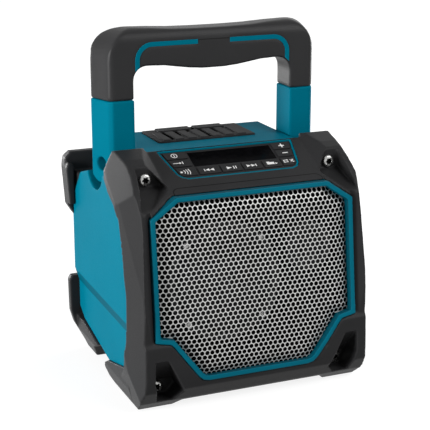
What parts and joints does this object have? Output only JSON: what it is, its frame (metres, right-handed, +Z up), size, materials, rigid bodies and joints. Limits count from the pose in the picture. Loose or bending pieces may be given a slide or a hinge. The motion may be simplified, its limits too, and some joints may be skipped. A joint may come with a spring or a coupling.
{
  "type": "rugged portable speaker",
  "caption": "Rugged box-shaped portable loudspeaker with perforated grille, sloping push-key panel, swinging loop handle, corner guards and a hinged rear battery door.",
  "frame": {"origin": "middle of the footprint, on the surface the part rests on", "axes": "+X to the right seen from the front, +Y to the back, +Z up"},
  "size_m": [0.23, 0.19, 0.3099],
  "materials": {
    "shell_teal": "satin",
    "guard_black": "fine grain",
    "soft_black": "matte",
    "key_black": "matte",
    "steel": "bright",
    "grille_steel": "silver",
    "cone_paper": "pulp",
    "spider_cloth": "woven",
    "copper": "wound",
    "dome_silk": "smooth",
    "display_glass": "gloss",
    "display_body": "plain",
    "board": "solder mask",
    "sink_aluminium": "extruded",
    "terminal": "moulded"
  },
  "bodies": {
    "body": {"housing": "shell_teal", "front_bezel": "guard_black", "bezel_screws": "steel", "grille_frame": "shell_teal", "grille": "grille_steel", "baffle": "guard_black", "woofer_basket": "guard_black", "woofer_magnet": "steel", "woofer_screws": "steel", "woofer_surround": "soft_black", "woofer_spider": "spider_cloth", "tweeter_body": "guard_black", "tweeter_dome": "dome_silk", "panel_trim": "shell_teal", "control_panel": "guard_black", "display_window": "display_glass", "display_module": "display_body", "key_board": "board", "top_pad": "soft_black", "pivot_screws": "steel", "pivot_washers": "steel", "rear_bumper_upper": "guard_black", "rear_bumper_lower": "guard_black", "bumper_screws": "steel", "battery_bay": "guard_black", "terminal_block": "terminal", "door_seal": "soft_black", "door_pin": "steel", "socket_plate": "guard_black", "dc_jack": "guard_black", "usb_socket": "steel", "cap_pin": "steel", "main_board": "board", "heat_sink": "sink_aluminium"},
    "handle": {"handle_frame": "shell_teal", "grip_cover": "soft_black", "grip_stripes": "shell_teal"},
    "cone": {"woofer_cone": "cone_paper", "voice_coil": "copper", "dust_cap": "cone_paper"},
    "key_power": {"key_power": "key_black"},
    "key_source": {"key_source": "key_black"},
    "key_pairing": {"key_pairing": "key_black"},
    "key_previous": {"key_previous": "key_black"},
    "key_play": {"key_play": "key_black"},
    "key_next": {"key_next": "key_black"},
    "key_folder": {"key_folder": "key_black"},
    "key_repeat": {"key_repeat": "key_black"},
    "key_plus": {"key_plus": "key_black"},
    "key_minus": {"key_minus": "key_black"},
    "door": {"battery_door": "shell_teal"},
    "latch": {"door_latch": "guard_black"},
    "cap": {"socket_cap": "soft_black"}
  },
  "joints": [
    {"name": "handle_swing", "type": "hinge", "parent": "body", "child": "handle", "pos_m": [0, 0.019, 0.193], "axis": [-1, 0, 0], "range_deg": [0, 68]},
    {"name": "cone_slide", "type": "slide", "parent": "body", "child": "cone", "axis": [0, -0.9942, 0.108], "range_m": [-0.0025, 0.0025], "stiffness_N_per_m": 900, "deforming": ["woofer_surround", "woofer_spider"]},
    {"name": "key_power_push", "type": "slide", "parent": "body", "child": "key_power", "axis": [0, 0.4067, -0.9135], "range_m": [0, 0.001], "stiffness_N_per_m": 600},
    {"name": "key_source_push", "type": "slide", "parent": "body", "child": "key_source", "axis": [0, 0.4067, -0.9135], "range_m": [0, 0.001], "stiffness_N_per_m": 600},
    {"name": "key_pairing_push", "type": "slide", "parent": "body", "child": "key_pairing", "axis": [0, 0.4067, -0.9135], "range_m": [0, 0.001], "stiffness_N_per_m": 600},
    {"name": "key_previous_push", "type": "slide", "parent": "body", "child": "key_previous", "axis": [0, 0.4067, -0.9135], "range_m": [0, 0.001], "stiffness_N_per_m": 600},
    {"name": "key_play_push", "type": "slide", "parent": "body", "child": "key_play", "axis": [0, 0.4067, -0.9135], "range_m": [0, 0.001], "stiffness_N_per_m": 600},
    {"name": "key_next_push", "type": "slide", "parent": "body", "child": "key_next", "axis": [0, 0.4067, -0.9135], "range_m": [0, 0.001], "stiffness_N_per_m": 600},
    {"name": "key_folder_push", "type": "slide", "parent": "body", "child": "key_folder", "axis": [0, 0.4067, -0.9135], "range_m": [0, 0.001], "stiffness_N_per_m": 600},
    {"name": "key_repeat_push", "type": "slide", "parent": "body", "child": "key_repeat", "axis": [0, 0.4067, -0.9135], "range_m": [0, 0.001], "stiffness_N_per_m": 600},
    {"name": "key_plus_push", "type": "slide", "parent": "body", "child": "key_plus", "axis": [0, 0.4067, -0.9135], "range_m": [0, 0.001], "stiffness_N_per_m": 600},
    {"name": "key_minus_push", "type": "slide", "parent": "body", "child": "key_minus", "axis": [0, 0.4067, -0.9135], "range_m": [0, 0.001], "stiffness_N_per_m": 600},
    {"name": "door_swing", "type": "hinge", "parent": "body", "child": "door", "pos_m": [-0.064, 0.0912, 0.08], "axis": [0, 0, 1], "range_deg": [0, 110]},
    {"name": "latch_turn", "type": "hinge", "parent": "door", "child": "latch", "pos_m": [0.042, 0.088, 0.08], "axis": [0, 1, 0], "range_deg": [0, 90]},
    {"name": "cap_lift", "type": "hinge", "parent": "body", "child": "cap", "pos_m": [0.082, 0.0892, 0.105], "axis": [1, 0, 0], "range_deg": [0, 100]}
  ]
}
